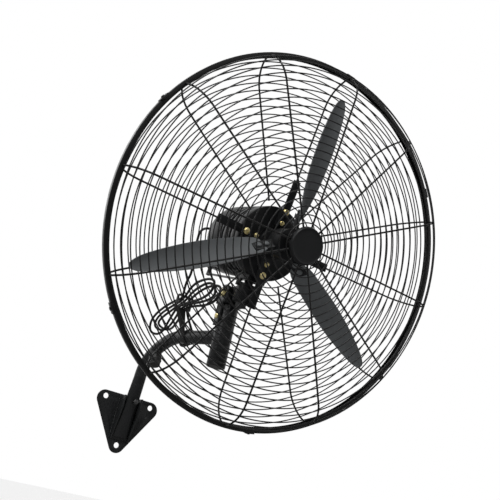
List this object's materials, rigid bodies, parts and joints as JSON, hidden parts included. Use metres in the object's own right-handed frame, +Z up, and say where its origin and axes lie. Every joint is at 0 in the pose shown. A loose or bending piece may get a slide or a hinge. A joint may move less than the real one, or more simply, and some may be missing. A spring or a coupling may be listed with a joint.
{
  "type": "wall mounted fan",
  "caption": "Industrial oscillating wall fan: bent tube arm on a triangular plate, tilting motor head with a wire cage and pressed blades, cord hung in a tied hank.",
  "frame": {"origin": "centre of the wall plate's bolt circle, on the face that lies against the wall", "axes": "+Z up, +Y into the wall, so the fan stands out and faces -Y; +X to the right of someone who faces the fan"},
  "size_m": [0.78, 0.7534, 0.8351],
  "materials": {
    "hammered_paint": "black textured powder coat",
    "black_enamel": "black enamel, satin",
    "black_wire": "black powder coat on steel wire",
    "black_blade": "black paint on pressed sheet, satin",
    "bright_steel": "zinc-plated steel",
    "brass_hardware": "yellow-passivated screw heads",
    "bronze": "sintered bronze bush",
    "laminations": "laminated core",
    "black_plastic": "moulded plastic, matt",
    "cord_black": "sheathed flexible cord, matt",
    "tie_black": "soft strap"
  },
  "bodies": {
    "wall_arm": {"wall_plate": "hammered_paint", "arm_cradle": "hammered_paint", "arm_tube": "hammered_paint", "arm_spacer": "black_enamel", "arm_bolt": "bright_steel", "sleeve": "hammered_paint", "sleeve_cap": "black_plastic", "switch_housing": "black_enamel", "tilt_fork": "hammered_paint", "clamp_screw": "brass_hardware", "tilt_bolt": "brass_hardware", "tilt_nut": "bright_steel", "cord_hank": "cord_black", "hank_tie": "tie_black", "cord_tail": "cord_black", "plug": "black_plastic"},
    "speed_knob": {"speed_knob": "black_plastic"},
    "neck": {"neck": "black_enamel", "neck_bush": "bronze", "link_pin": "bright_steel", "cord_lower": "cord_black"},
    "head": {"pivot_saddle": "black_enamel", "pivot_nut": "bright_steel", "motor_front_bell": "black_enamel", "motor_shell": "black_enamel", "motor_rear_bell": "black_enamel", "stator": "laminations", "front_bearing": "bright_steel", "rear_bearing": "bright_steel", "gearbox": "black_enamel", "cord_gland": "black_plastic", "hoop": "black_wire", "front_guard": "black_wire", "rear_guard": "black_wire", "hoop_clips": "black_wire", "guard_backing": "black_enamel", "centre_cap": "black_plastic", "guard_struts": "black_enamel", "strut_screws": "brass_hardware", "cord_upper": "cord_black"},
    "rotor": {"shaft": "bright_steel", "rotor_core": "laminations", "hub": "bright_steel", "blade_1": "black_blade", "blade_2": "black_blade", "blade_3": "black_blade", "blade_rivets": "bright_steel", "hub_nut": "bright_steel"},
    "crank": {"crank": "black_enamel", "crank_clip": "bright_steel"},
    "link": {"swing_link": "black_enamel"},
    "pull_knob": {"pull_knob": "black_plastic"}
  },
  "joints": [
    {"name": "tilt", "type": "hinge", "parent": "wall_arm", "child": "neck", "pos_m": [0, -0.43, 0.272], "axis": [-1, 0, 0], "range_deg": [-6, 10], "deforming": ["cord_lower"]},
    {"name": "oscillate", "type": "hinge", "parent": "neck", "child": "head", "pos_m": [0, -0.50858, 0.38618], "axis": [0, -0.2588, 0.9659], "range_deg": [-45, 45], "deforming": ["cord_upper"]},
    {"name": "fan_spin", "type": "hinge", "parent": "head", "child": "rotor", "pos_m": [0, -0.61, 0.359], "axis": [0, -0.9659, -0.2588], "continuous": true},
    {"name": "crank_turn", "type": "hinge", "parent": "head", "child": "crank", "pos_m": [0, -0.32863, 0.35985], "axis": [0, -0.2588, 0.9659], "range_deg": [-45, 45]},
    {"name": "link_swing", "type": "hinge", "parent": "neck", "child": "link", "pos_m": [-0.022, -0.48425, 0.29538], "axis": [0, -0.2588, 0.9659], "range_deg": [-45, 45]},
    {"name": "clutch_pull", "type": "slide", "parent": "head", "child": "pull_knob", "axis": [0, -0.2588, 0.9659], "range_m": [0, 0.008]},
    {"name": "speed_turn", "type": "hinge", "parent": "wall_arm", "child": "speed_knob", "pos_m": [0, -0.08748, 0.17135], "axis": [0, -0.4305, -0.9026], "range_deg": [0, 135]}
  ],
  "couplings": [
    {"joint": "crank_turn", "follows": "oscillate", "ratio": -1},
    {"joint": "link_swing", "follows": "oscillate", "ratio": 1}
  ]
}
